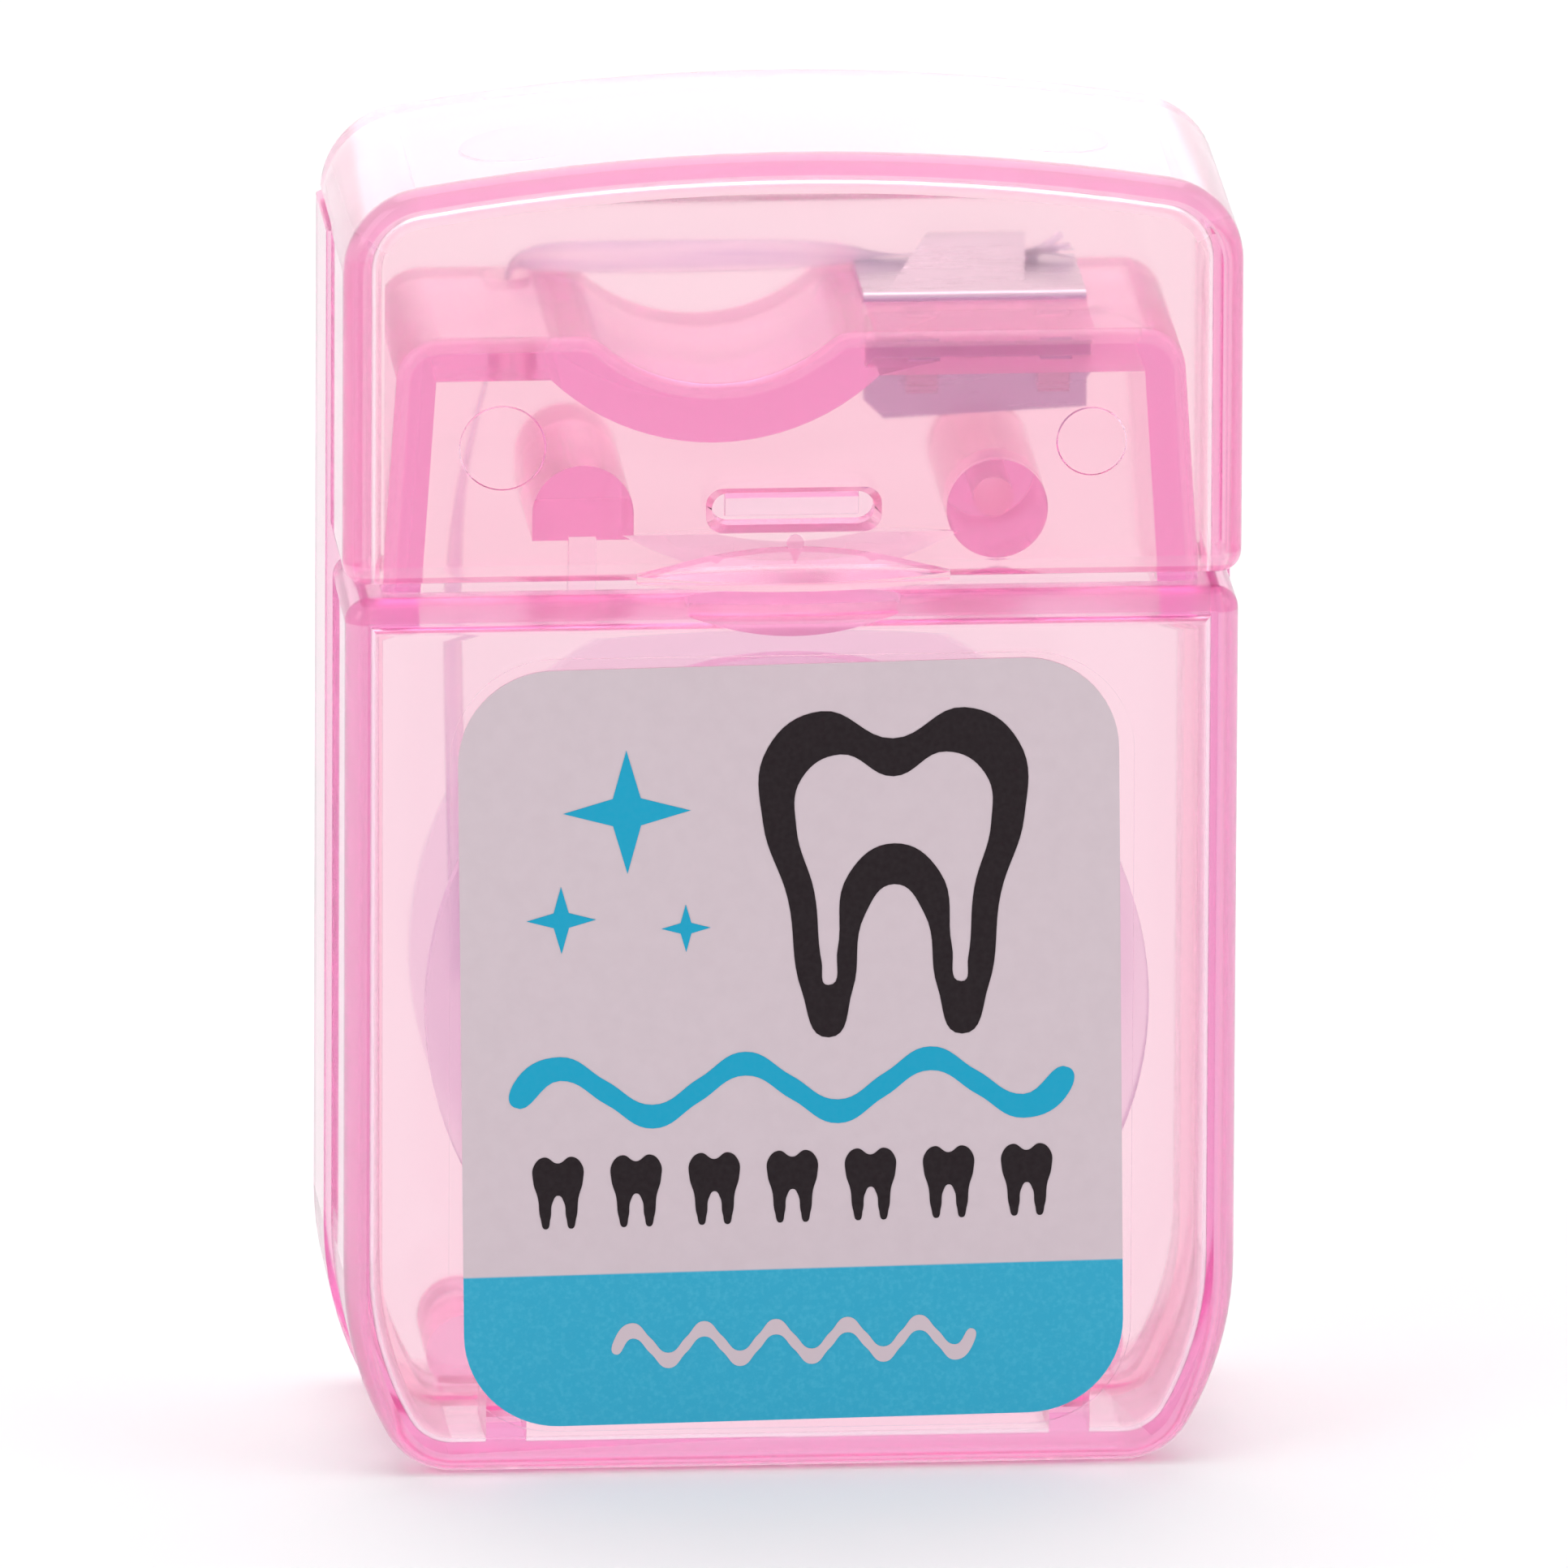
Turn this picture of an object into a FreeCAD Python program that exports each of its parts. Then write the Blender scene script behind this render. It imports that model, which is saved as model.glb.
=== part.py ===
import FreeCAD
import Part
import math
import os

# A pocket dental floss dispenser in clear tinted plastic.
# A tray-shaped front shell with a neck and a deck is closed by a rear shell. A flip lid
# hangs on the rear shell by a thin web, and covers the deck with its floss exit and cutter.
# Inside, a bobbin of floss turns on a hollow spindle.
# Millimetres. X runs to the viewer's right, Y to the back, Z up from the surface it stands on.

# Case
case_depth = 12.7
case_half_width = 15.65
front_step = 0.25
lid_step = 0.15
front_shell_depth = 6.75
front_wall = 1.0
front_side_wall = 0.9
rear_wall = 1.0
rear_side_wall = 0.9
lid_wall = 1.0
edge_round = 0.75
inner_round = 0.45
corner_width = 3.8
corner_height = 7.2
corner_tight_radius = 2.6
overrun = 2.0
same_place = 0.001

# Heights, each stacked on the one before
ledge_top = 31.2
neck_height = 9.0
hinge_rise = 2.6
crown_rise = 4.0

# Lid crown, skirt and hinge
crown_radius = 78.6
crown_corner_radius = 3.0
lid_gap = 0.5
skirt_corner_radius = 0.8
parting_gap = 0.3
seam_gap = 0.06
web_side_inset = 6.0
web_height = 1.0
web_thickness = 0.3

# Thumb lip on the lid, and the scoop below it in the front shell
lip_reach = 1.2
lip_half_chord = 5.4
lip_edge_height = 0.3
lip_slope_height = 1.0
scoop_depth = 1.1
scoop_half_chord = 5.0
scoop_height = 1.4

# Shoulder ledge and neck
ledge_thickness = 1.1
neck_setback = 1.35
neck_wall = 0.9
neck_lid_gap = 0.4
neck_flare = 0.6
neck_side_wall = 1.4
neck_corner_radius = 1.5
neck_edge_round = 0.45
neck_rear_clearance = 0.35
deck_thickness = 1.6

# Where things lie across the deck, as shares of the neck's half width there
exit_place_share = -0.6815
dip_place_share = -0.1926
clip_left_share = 0.2074
clip_right_share = 0.7778
boss_place_share = 0.5289

# Finger dip in the deck
dip_centre_rise = 4.2
dip_radius = 5.95
dip_wall = 2.15
dip_blend_radius = 1.2

# Floss exit hole
exit_rear_inset = 2.4
exit_radius = 0.85

# Latch
latch_window_width = 6.06
latch_window_height = 1.58
latch_window_rise = 1.8
latch_window_radius = 0.6
catch_width = 4.6
catch_tip_height = 0.6
catch_root_height = 1.0
catch_tip_back = 0.7
catch_rise = 0.45

# Moulding marks
gate_x = 0.05
gate_drop = 0.38
gate_radius = 0.3
gate_stand = 0.08
pin_mark_depth = 0.06
left_mark_inset = 6.2
left_mark_rise = 4.1
left_mark_radius = 1.58
right_mark_inset = 5.2
right_mark_rise = 4.7
right_mark_radius = 1.17
crown_mark_inset = 6.7
crown_mark_back = 5.3
crown_mark_radius = 2.3

# Bosses that join the two shells
boss_rise = 2.6
boss_radius = 1.75
boss_rear_gap = 1.05
boss_bore_radius = 0.7
boss_bore_depth = 6.0
boss_foot_drop = 0.9
boss_web_width = 0.95
boss_web_depth = 0.7
pin_radius = 0.62
pin_reach = 4.0
stub_radius = 1.4
stub_gap = 0.1
post_inset = 4.45
post_height = 4.3
post_radius = 1.4
rib_inset = 5.65
rib_width = 1.4
rib_bobbin_gap = 0.45
rib_tongue_gap = 0.4

# Tongue of the rear shell inside the front shell
tongue_length = 1.2
tongue_thickness = 0.5
tongue_gap = 0.08
tongue_top_gap = 0.3

# Bobbin and its spindle
bobbin_side_gap = 2.0
bobbin_floor_gap = 2.7
bobbin_end_gap = 1.05
bobbin_flange_thickness = 0.8
bobbin_hub_wall = 1.02
spindle_radius = 2.5
spindle_bore_radius = 1.4
spindle_running_gap = 0.08
collar_radius = 3.3
collar_gap = 0.3
ring_fit_gap = 0.1
ring_overlap = 0.5

# Floss
floss_diameter = 0.45
turn_count = 6.5
turns_end_gap = 0.35
winding_below_flange = 2.5
winding_seat_gap = 0.02
strand_gap = 0.35
strand_leaf_gap = 0.02

# Where the strand's corners lie, as shares of its rise and of its way back
strand_rise_shares = [0.30, 0.56, 0.86]
strand_back_shares = [0.10, 0.56]
strand_bulge_share = 0.30
strand_run_share = 0.45

# Cutter clip
clip_leaf_length = 5.0
clip_thickness = 0.25
clip_bend_radius = 0.2
clip_exit_distance = 4.45
clip_leg_length = 4.3
clip_leg_chamfer = 0.7
clip_slot_gap = 0.06
clip_seat_gap = 0.02
barb_reach = 0.8
barb_height = 1.1
barb_gap = 0.05
tooth_setback = 0.95
tooth_past_strand = 0.3
tooth_rise = 0.9
tooth_front_left_inset = 1.0
tooth_front_right_inset = 2.08
tooth_rear_left_inset = 2.57
tooth_rear_right_inset = 1.73
tooth_shear_gap = 0.05
lug_width = 1.1
lug_height = 0.65
lug_depth = 0.7
lug_gap = 0.12
lug_left_inset = 1.95
lug_right_inset = 1.2

# Label on the front
label_side_margin = 4.0
label_bottom = 1.8
label_top_gap = 2.4
label_corner_radius = 3.3
label_thickness = 0.12
label_turn = 0.75
label_recess_side = 0.4
label_recess_end = 0.3

# Places that follow from the sizes above
front_half_width = case_half_width - front_step
lid_half_width = case_half_width - lid_step
overall_depth = case_depth + lip_reach
front_y = lip_reach - overall_depth / 2
back_y = front_y + case_depth
parting_y = front_y + front_shell_depth
front_inner_y = front_y + front_wall
rear_inner_y = back_y - rear_wall
seam_y = parting_y + seam_gap
ledge_bottom = ledge_top - ledge_thickness
lid_bottom = ledge_top + lid_gap
deck_top = ledge_top + neck_height
deck_bottom = deck_top - deck_thickness
hinge_height = deck_top + hinge_rise
case_height = hinge_height + crown_rise
lid_rear_bottom = hinge_height + parting_gap / 2
rear_top = hinge_height - parting_gap / 2
web_half_width = lid_half_width - web_side_inset

neck_bottom_half_width = lid_half_width - lid_wall - neck_lid_gap
neck_top_half_width = neck_bottom_half_width - neck_flare
neck_front_y = front_y + neck_setback
neck_inner_y = neck_front_y + neck_wall
neck_rear_y = rear_inner_y - neck_rear_clearance
scoop_bottom = ledge_top - scoop_height

clip_right = neck_top_half_width * clip_right_share
clip_left = neck_top_half_width * clip_left_share
exit_x = neck_top_half_width * exit_place_share
exit_y = back_y - exit_rear_inset
clip_front_y = exit_y - clip_exit_distance
clip_leg_bottom = deck_top - clip_leg_length
leaf_bottom = deck_top + clip_seat_gap
leaf_top = leaf_bottom + clip_thickness
dip_x = neck_top_half_width * dip_place_share
dip_centre_height = deck_top + dip_centre_rise

latch_window_bottom = lid_bottom + latch_window_rise
catch_bottom = latch_window_bottom + catch_rise
boss_x = neck_top_half_width * boss_place_share
boss_height = ledge_top + boss_rise
boss_end_y = rear_inner_y - boss_rear_gap
post_x = case_half_width - post_inset
rib_x = front_half_width - rib_inset

bobbin_flange_radius = front_half_width - front_side_wall - bobbin_side_gap
bobbin_height = front_side_wall + bobbin_floor_gap + bobbin_flange_radius
bobbin_bore_radius = spindle_radius + spindle_running_gap
bobbin_hub_radius = bobbin_bore_radius + bobbin_hub_wall
bobbin_front_y = front_inner_y + bobbin_end_gap
bobbin_rear_y = rear_inner_y - bobbin_end_gap
bobbin_y = (bobbin_front_y + bobbin_rear_y) / 2
rib_top = bobbin_height - math.sqrt(
    (bobbin_flange_radius + rib_bobbin_gap) ** 2 - (rib_x - rib_width / 2) ** 2)

floss_radius = floss_diameter / 2
winding_radius = bobbin_flange_radius - winding_below_flange
turns_radius = winding_radius + winding_seat_gap + floss_radius
winding_space = bobbin_rear_y - bobbin_front_y - 2 * bobbin_flange_thickness
turn_pitch = (winding_space - 2 * turns_end_gap - floss_diameter) / turn_count

label_width = 2 * (front_half_width - label_side_margin)
label_height = ledge_top - label_top_gap - label_bottom
label_centre = label_bottom + label_height / 2

gentle_rise = corner_height - corner_tight_radius
gentle_radius = (gentle_rise ** 2 + corner_width ** 2 - corner_tight_radius ** 2) / (
    2 * (corner_width - corner_tight_radius))
gentle_turn = math.degrees(math.atan2(gentle_rise, gentle_radius - corner_width))
crown_centre = case_height - crown_radius
crown_corner_x = lid_half_width - crown_corner_radius
crown_corner_z = crown_centre + math.sqrt(
    (crown_radius - crown_corner_radius) ** 2 - crown_corner_x ** 2)
crown_turn = math.degrees(math.asin(crown_corner_x / (crown_radius - crown_corner_radius)))


# Drawing helpers

def point(x, y, z):
    return FreeCAD.Vector(x, y, z)


def line(start, end, y):
    """A straight edge between two (x, z) places."""
    return Part.LineSegment(point(start[0], y, start[1]), point(end[0], y, end[1])).toShape()


def arc(centre, radius, start_angle, end_angle, y):
    """An arc about an (x, z) centre, with its angles in degrees from +X towards +Z."""
    places = []
    for angle in (start_angle, (start_angle + end_angle) / 2, end_angle):
        turn = math.radians(angle)
        places.append(point(centre[0] + radius * math.cos(turn), y,
                            centre[1] + radius * math.sin(turn)))
    return Part.Arc(*places).toShape()


def loop_face(pieces):
    """A face from arcs, given as edges, with straight edges put in wherever two don't meet."""
    edges = []
    for index, piece in enumerate(pieces):
        following = pieces[(index + 1) % len(pieces)]
        end, start = piece.valueAt(piece.LastParameter), following.valueAt(following.FirstParameter)
        edges.append(piece)
        if end.distanceToPoint(start) > same_place:
            edges.append(Part.LineSegment(end, start).toShape())
    return Part.Face(Part.Wire(edges))


def polygon_face(places, y):
    """A face with straight sides through (x, z) places."""
    corners = [point(x, y, z) for x, z in places]
    return Part.Face(Part.makePolygon(corners + corners[:1]))


def prism(face, length):
    """A face in the front plane pushed back along Y."""
    return face.extrude(point(0, length, 0))


def box(low, high):
    return Part.makeBox(high[0] - low[0], high[1] - low[1], high[2] - low[2], point(*low))


def rod(x, z, radius, start_y, end_y):
    """A round bar along Y."""
    return Part.makeCylinder(radius, end_y - start_y, point(x, start_y, z), point(0, 1, 0))


def tube(x, z, radius, bore, start_y, end_y):
    return rod(x, z, radius, start_y, end_y).cut(
        rod(x, z, bore, start_y - overrun, end_y + overrun))


def rounded_rectangle(x, z, width, height, radius, y):
    right, top = x + width / 2 - radius, z + height / 2 - radius
    left, bottom = x - width / 2 + radius, z - height / 2 + radius
    return loop_face([
        arc((right, bottom), radius, -90, 0, y),
        arc((right, top), radius, 0, 90, y),
        arc((left, top), radius, 90, 180, y),
        arc((left, bottom), radius, 180, 270, y)])


def edges_in_plane(shape, y):
    """The edges that lie wholly in a plane of constant Y."""
    found = []
    for edge in shape.Edges:
        span = edge.BoundBox
        if abs(span.YMin - y) < same_place and abs(span.YMax - y) < same_place:
            found.append(edge)
    return found


def edges_along_y(shape, x, z):
    """The straight edges that run along Y through an (x, z) place."""
    found = []
    for edge in shape.Edges:
        near = [abs(v.X - x) < same_place and abs(v.Z - z) < same_place for v in edge.Vertexes]
        if len(near) == 2 and all(near):
            found.append(edge)
    return found


# Outlines seen from the front

def case_outline(half_width, top, inset, y):
    """The case below its ledge. Each bottom corner is a gentle arc that tightens below."""
    gentle_x, tight_x = half_width - gentle_radius, half_width - corner_width
    gentle, tight = gentle_radius - inset, corner_tight_radius - inset
    right_top, left_top = (half_width - inset, top), (inset - half_width, top)
    return loop_face([
        line(left_top, (inset - half_width, corner_height), y),
        arc((-gentle_x, corner_height), gentle, 180, 180 + gentle_turn, y),
        arc((-tight_x, corner_tight_radius), tight, 180 + gentle_turn, 270, y),
        arc((tight_x, corner_tight_radius), tight, 270, 360 - gentle_turn, y),
        arc((gentle_x, corner_height), gentle, 360 - gentle_turn, 360, y),
        line((half_width - inset, corner_height), right_top, y)])


def lid_outline(bottom, inset, y):
    """The lid with its crowned top."""
    side = lid_half_width - inset
    corner, crown = crown_corner_radius - inset, crown_radius - inset
    return loop_face([
        line((side, bottom), (side, crown_corner_z), y),
        arc((crown_corner_x, crown_corner_z), corner, 0, 90 - crown_turn, y),
        arc((0, crown_centre), crown, 90 - crown_turn, 90 + crown_turn, y),
        arc((-crown_corner_x, crown_corner_z), corner, 90 + crown_turn, 180, y),
        line((-side, crown_corner_z), (-side, bottom), y)])


def neck_outline(inset, bottom, top, y):
    """The neck, whose sides flare towards the ledge."""
    lean = (neck_bottom_half_width - neck_top_half_width) / (deck_top - ledge_top)
    low = neck_top_half_width - inset + lean * (deck_top - bottom)
    high = neck_top_half_width - inset + lean * (deck_top - top)
    return polygon_face([(-low, bottom), (low, bottom), (high, top), (-high, top)], y)


# Front shell

def tray():
    """The front half of the case with its ledge, before the neck is added."""
    solid = prism(case_outline(front_half_width, ledge_top, 0, front_y), front_shell_depth)
    corners = (edges_along_y(solid, front_half_width, ledge_top)
               + edges_along_y(solid, -front_half_width, ledge_top))
    solid = solid.makeFillet(skirt_corner_radius, corners)
    solid = solid.makeFillet(edge_round, edges_in_plane(solid, front_y))
    hollow = prism(
        case_outline(front_half_width, ledge_bottom, front_side_wall, front_inner_y),
        front_shell_depth + overrun)
    hollow = hollow.makeFillet(inner_round, edges_in_plane(hollow, front_inner_y))
    return solid.cut(hollow)


def neck():
    """The neck with its deck and finger dip."""
    depth = neck_rear_y - neck_front_y
    solid = prism(neck_outline(0, ledge_bottom, deck_top, neck_front_y), depth)
    dip = rod(dip_x, dip_centre_height, dip_radius, neck_front_y - overrun, neck_rear_y + overrun)
    solid = solid.cut(dip)
    half_opening = math.sqrt(dip_radius ** 2 - (dip_centre_height - deck_top) ** 2)
    for side in (-1, 1):
        solid = solid.makeFillet(
            neck_corner_radius, edges_along_y(solid, side * neck_top_half_width, deck_top))
        solid = solid.makeFillet(
            dip_blend_radius, edges_along_y(solid, dip_x + side * half_opening, deck_top))
    front_edges = [edge for edge in edges_in_plane(solid, neck_front_y)
                   if edge.BoundBox.ZMax > ledge_bottom + same_place]
    return solid.makeFillet(neck_edge_round, front_edges)


def neck_hollow():
    """The space under the deck, which is open below and at the back."""
    depth = neck_rear_y + overrun - neck_inner_y
    space = prism(neck_outline(
        neck_side_wall, ledge_bottom - overrun, deck_bottom, neck_inner_y), depth)
    return space.cut(rod(dip_x, dip_centre_height, dip_radius + dip_wall,
                         neck_inner_y - overrun, neck_rear_y + overrun + overrun))


def scoop():
    """A cone that is cut from the ledge's front edge, under the thumb lip."""
    top_radius = (scoop_half_chord ** 2 + scoop_depth ** 2) / (2 * scoop_depth)
    bottom_radius = top_radius - scoop_depth
    height = ledge_top - scoop_bottom
    slope = scoop_depth / height
    return Part.makeCone(bottom_radius, top_radius + slope * overrun, height + overrun,
                         point(0, front_y - bottom_radius, scoop_bottom), point(0, 0, 1))


def catch():
    """The wedge on the neck that snaps into the lid's window."""
    root_bottom = catch_bottom - (catch_root_height - catch_tip_height) / 2
    root_y, tip_y = neck_front_y + same_place, front_y + catch_tip_back
    places = [(root_y, root_bottom), (tip_y, catch_bottom),
              (tip_y, catch_bottom + catch_tip_height), (root_y, root_bottom + catch_root_height)]
    corners = [point(-catch_width / 2, y, z) for y, z in places]
    return Part.Face(Part.makePolygon(corners + corners[:1])).extrude(point(catch_width, 0, 0))


def round_boss():
    """The tube on the right, whose bore takes the rear shell's pin."""
    solid = rod(boss_x, boss_height, boss_radius, neck_inner_y, boss_end_y)
    return solid.cut(rod(boss_x, boss_height, boss_bore_radius,
                         boss_end_y - boss_bore_depth, boss_end_y + overrun))


def arched_boss():
    """The solid boss on the left: an arch with a flat foot, on a web down to the ledge."""
    foot = boss_height - boss_foot_drop
    arch = rod(-boss_x, boss_height, boss_radius, neck_inner_y, boss_end_y)
    block = box((-boss_x - boss_radius, neck_inner_y, foot),
                (-boss_x + boss_radius, boss_end_y, boss_height))
    below = box((-boss_x - boss_radius, neck_inner_y - overrun, foot - boss_radius),
                (-boss_x + boss_radius, boss_end_y + overrun, foot))
    web = box((-boss_x - boss_web_width / 2, neck_inner_y, ledge_bottom),
              (-boss_x + boss_web_width / 2, neck_inner_y + boss_web_depth, boss_height))
    return arch.fuse(block).cut(below).fuse(web)


def front_shell():
    solid = tray().fuse(neck())
    # The neck's hollow also opens the ledge, so that the floss can pass up through it
    solid = solid.cut(neck_hollow()).cut(scoop())
    solid = solid.fuse([catch(), round_boss(), arched_boss()])
    for side in (-1, 1):
        solid = solid.fuse(box(
            (side * rib_x - rib_width / 2, front_inner_y - front_wall / 2, front_side_wall / 2),
            (side * rib_x + rib_width / 2, parting_y - tongue_length - rib_tongue_gap, rib_top)))
    ring_bore = spindle_radius + ring_fit_gap
    solid = solid.fuse(tube(0, bobbin_height, collar_radius, ring_bore,
                            front_inner_y, bobbin_front_y - collar_gap))
    for place in (clip_left + lug_left_inset, clip_right - lug_right_inset):
        solid = solid.fuse(box(
            (place - lug_width / 2, clip_front_y - lug_gap - lug_depth, deck_bottom - lug_height),
            (place + lug_width / 2, clip_front_y - lug_gap, deck_bottom + deck_thickness / 2)))
    slot = box((clip_left - clip_slot_gap, clip_front_y - clip_slot_gap, deck_bottom - overrun),
               (clip_right + clip_slot_gap, clip_front_y + clip_thickness + clip_slot_gap,
                deck_top + overrun))
    hole = Part.makeCylinder(exit_radius, deck_thickness + overrun,
                             point(exit_x, exit_y, deck_bottom - overrun / 2))
    recess = prism(rounded_rectangle(
        0, label_centre, label_width + 2 * label_recess_side,
        label_height + 2 * label_recess_end, label_corner_radius + label_recess_end,
        front_y - overrun), overrun + label_thickness)
    return solid.cut([slot, hole, recess]).removeSplitter()


# Rear shell

def rear_shell():
    solid = prism(case_outline(case_half_width, rear_top, 0, seam_y), back_y - seam_y)
    rear_edges = [edge for edge in edges_in_plane(solid, back_y)
                  if edge.BoundBox.ZMin < rear_top - same_place]
    solid = solid.makeFillet(edge_round, rear_edges)
    solid = solid.cut(prism(
        case_outline(case_half_width, rear_top + overrun, rear_side_wall, seam_y - overrun),
        rear_inner_y - seam_y + overrun))
    inner = front_side_wall + tongue_gap
    tongue_top = ledge_bottom - tongue_top_gap
    lip = prism(case_outline(front_half_width, tongue_top, inner, parting_y - tongue_length),
                tongue_length + seam_gap)
    root = prism(case_outline(case_half_width, tongue_top, rear_side_wall / 2, seam_y),
                 tongue_length)
    bore = prism(case_outline(front_half_width, tongue_top + overrun, inner + tongue_thickness,
                              parting_y - tongue_length - overrun),
                 2 * (tongue_length + overrun))
    solid = solid.fuse(lip.fuse(root).cut(bore))
    solid = solid.fuse(rod(0, bobbin_height, spindle_radius,
                           bobbin_front_y - collar_gap - ring_overlap, rear_inner_y))
    solid = solid.fuse(rod(0, bobbin_height, collar_radius,
                           bobbin_rear_y + collar_gap, rear_inner_y))
    solid = solid.cut(rod(0, bobbin_height, spindle_bore_radius,
                          front_y, rear_inner_y - collar_gap))
    for side in (-1, 1):
        solid = solid.fuse(rod(side * post_x, post_height, post_radius, seam_y, rear_inner_y))
        solid = solid.fuse(rod(side * boss_x, boss_height, stub_radius,
                               boss_end_y + stub_gap, rear_inner_y))
    solid = solid.fuse(rod(boss_x, boss_height, pin_radius,
                           boss_end_y - pin_reach, rear_inner_y))
    return solid.cut(web_notch()).removeSplitter()


def web_notch():
    """The space that the hinge web needs in the rear shell's and the lid's back walls."""
    return box((-web_half_width, rear_inner_y - overrun, hinge_height - web_height / 2),
               (web_half_width, back_y + overrun, hinge_height + web_height / 2))


def lid_hinge_web():
    """The thin flexing strip between the lid and the rear shell."""
    return box((-web_half_width, back_y - web_thickness, hinge_height - web_height / 2),
               (web_half_width, back_y, hinge_height + web_height / 2))


# Flip lid

def thumb_lip():
    """A crescent along the skirt's front edge, with a sloping top."""
    radius = (lip_half_chord ** 2 + lip_reach ** 2) / (2 * lip_reach)
    centre = point(0, front_y - lip_reach + radius, lid_bottom)
    disc = Part.makeCylinder(radius, lip_edge_height, centre)
    slope = Part.makeCone(radius, radius - lip_reach, lip_slope_height,
                          centre + point(0, 0, lip_edge_height))
    front_part = box((-lip_half_chord, front_y - lip_reach, lid_bottom),
                     (lip_half_chord, front_y + lid_wall / 2, lid_bottom + hinge_height))
    return disc.fuse(slope).common(front_part)


def flip_lid():
    solid = prism(lid_outline(lid_bottom, 0, front_y), case_depth)
    solid = solid.makeFillet(skirt_corner_radius,
                             edges_along_y(solid, lid_half_width, lid_bottom)
                             + edges_along_y(solid, -lid_half_width, lid_bottom))
    solid = solid.makeFillet(edge_round, edges_in_plane(solid, front_y)
                             + edges_in_plane(solid, back_y))
    behind_parting = box(
        (-lid_half_width - overrun, parting_y - parting_gap, lid_bottom - overrun),
        (lid_half_width + overrun, back_y + overrun, lid_rear_bottom))
    hollow = prism(lid_outline(lid_bottom - overrun, lid_wall, front_y + lid_wall),
                   case_depth - 2 * lid_wall)
    hollow = hollow.makeFillet(inner_round, [
        edge for edge in edges_in_plane(hollow, front_y + lid_wall)
        if edge.BoundBox.ZMax > lid_bottom])
    window = prism(rounded_rectangle(
        0, latch_window_bottom + latch_window_height / 2, latch_window_width,
        latch_window_height, latch_window_radius, front_y - overrun), 2 * overrun)
    solid = solid.cut([behind_parting, hollow, window, web_notch()])
    marks = [
        rod(left_mark_inset - lid_half_width, lid_bottom + left_mark_rise, left_mark_radius,
            front_y + lid_wall - pin_mark_depth, front_y + lid_wall + overrun),
        rod(lid_half_width - right_mark_inset, lid_bottom + right_mark_rise, right_mark_radius,
            front_y + lid_wall - pin_mark_depth, front_y + lid_wall + overrun)]
    crown_mark_x = lid_half_width - crown_mark_inset
    underside = crown_centre + math.sqrt((crown_radius - lid_wall) ** 2 - crown_mark_x ** 2)
    for side in (-1, 1):
        marks.append(Part.makeCylinder(
            crown_mark_radius, overrun + 2 * pin_mark_depth,
            point(side * crown_mark_x, front_y + crown_mark_back, underside - overrun)))
    gate = rod(gate_x, latch_window_bottom - gate_drop, gate_radius,
               front_y - gate_stand, front_y + lid_wall / 2)
    return solid.cut(marks).fuse([thumb_lip(), gate]).removeSplitter()


# Cutter clip

def cutter_clip():
    """A folded steel strip: a leaf on the deck with a raised tooth, and a leg down its slot."""
    leaf = box((clip_left, clip_front_y, leaf_bottom),
               (clip_right, clip_front_y + clip_leaf_length, leaf_top))
    tooth_front, tooth_rear = clip_front_y + tooth_setback, exit_y + tooth_past_strand
    plan = [(clip_left + tooth_front_left_inset, tooth_front),
            (clip_right - tooth_front_right_inset, tooth_front),
            (clip_right - tooth_rear_right_inset, tooth_rear),
            (clip_left + tooth_rear_left_inset, tooth_rear)]
    corners = [point(x, y, leaf_bottom - overrun) for x, y in plan]
    column = Part.Face(Part.makePolygon(corners + corners[:1])).extrude(
        point(0, 0, overrun + overrun + tooth_rise))
    window = column.copy()
    window.translate(point(0, tooth_shear_gap, 0))
    ramp = [(tooth_front, leaf_bottom), (tooth_front, leaf_top),
            (tooth_rear, leaf_top + tooth_rise), (tooth_rear, leaf_bottom + tooth_rise)]
    corners = [point(clip_left, y, z) for y, z in ramp]
    sheet = Part.Face(Part.makePolygon(corners + corners[:1])).extrude(
        point(clip_right - clip_left, 0, 0))
    barb_top = deck_bottom - barb_gap
    leg = prism(polygon_face([
        (clip_left, leaf_top), (clip_left, clip_leg_bottom + clip_leg_chamfer),
        (clip_left + clip_leg_chamfer, clip_leg_bottom), (clip_right, clip_leg_bottom),
        (clip_right, barb_top - barb_height), (clip_right + barb_reach, barb_top),
        (clip_right, barb_top), (clip_right, leaf_top)], clip_front_y), clip_thickness)
    bend = [edge for edge in edges_in_plane(leg, clip_front_y)
            if edge.BoundBox.ZMin > leaf_top - same_place]
    leg = leg.makeFillet(clip_bend_radius, bend)
    corner_of_leaf = box((clip_left, clip_front_y, leaf_bottom),
                         (clip_right, clip_front_y + clip_thickness, leaf_top))
    flat = leaf.cut(window).cut(corner_of_leaf)
    return flat.fuse([sheet.common(column), leg]).removeSplitter()


# Bobbin and floss

def bobbin():
    """Two flanges on a hub that turns on the spindle."""
    solid = rod(0, bobbin_height, bobbin_hub_radius, bobbin_front_y, bobbin_rear_y)
    for start in (bobbin_front_y, bobbin_rear_y - bobbin_flange_thickness):
        solid = solid.fuse(rod(0, bobbin_height, bobbin_flange_radius,
                               start, start + bobbin_flange_thickness))
    return solid.cut(rod(0, bobbin_height, bobbin_bore_radius,
                         bobbin_front_y - overrun, bobbin_rear_y + overrun)).removeSplitter()


def floss_winding():
    """The floss under the outer layer, as one plain core."""
    return tube(0, bobbin_height, winding_radius, bobbin_hub_radius + winding_seat_gap,
                bobbin_front_y + bobbin_flange_thickness + winding_seat_gap,
                bobbin_rear_y - bobbin_flange_thickness - winding_seat_gap)


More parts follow.
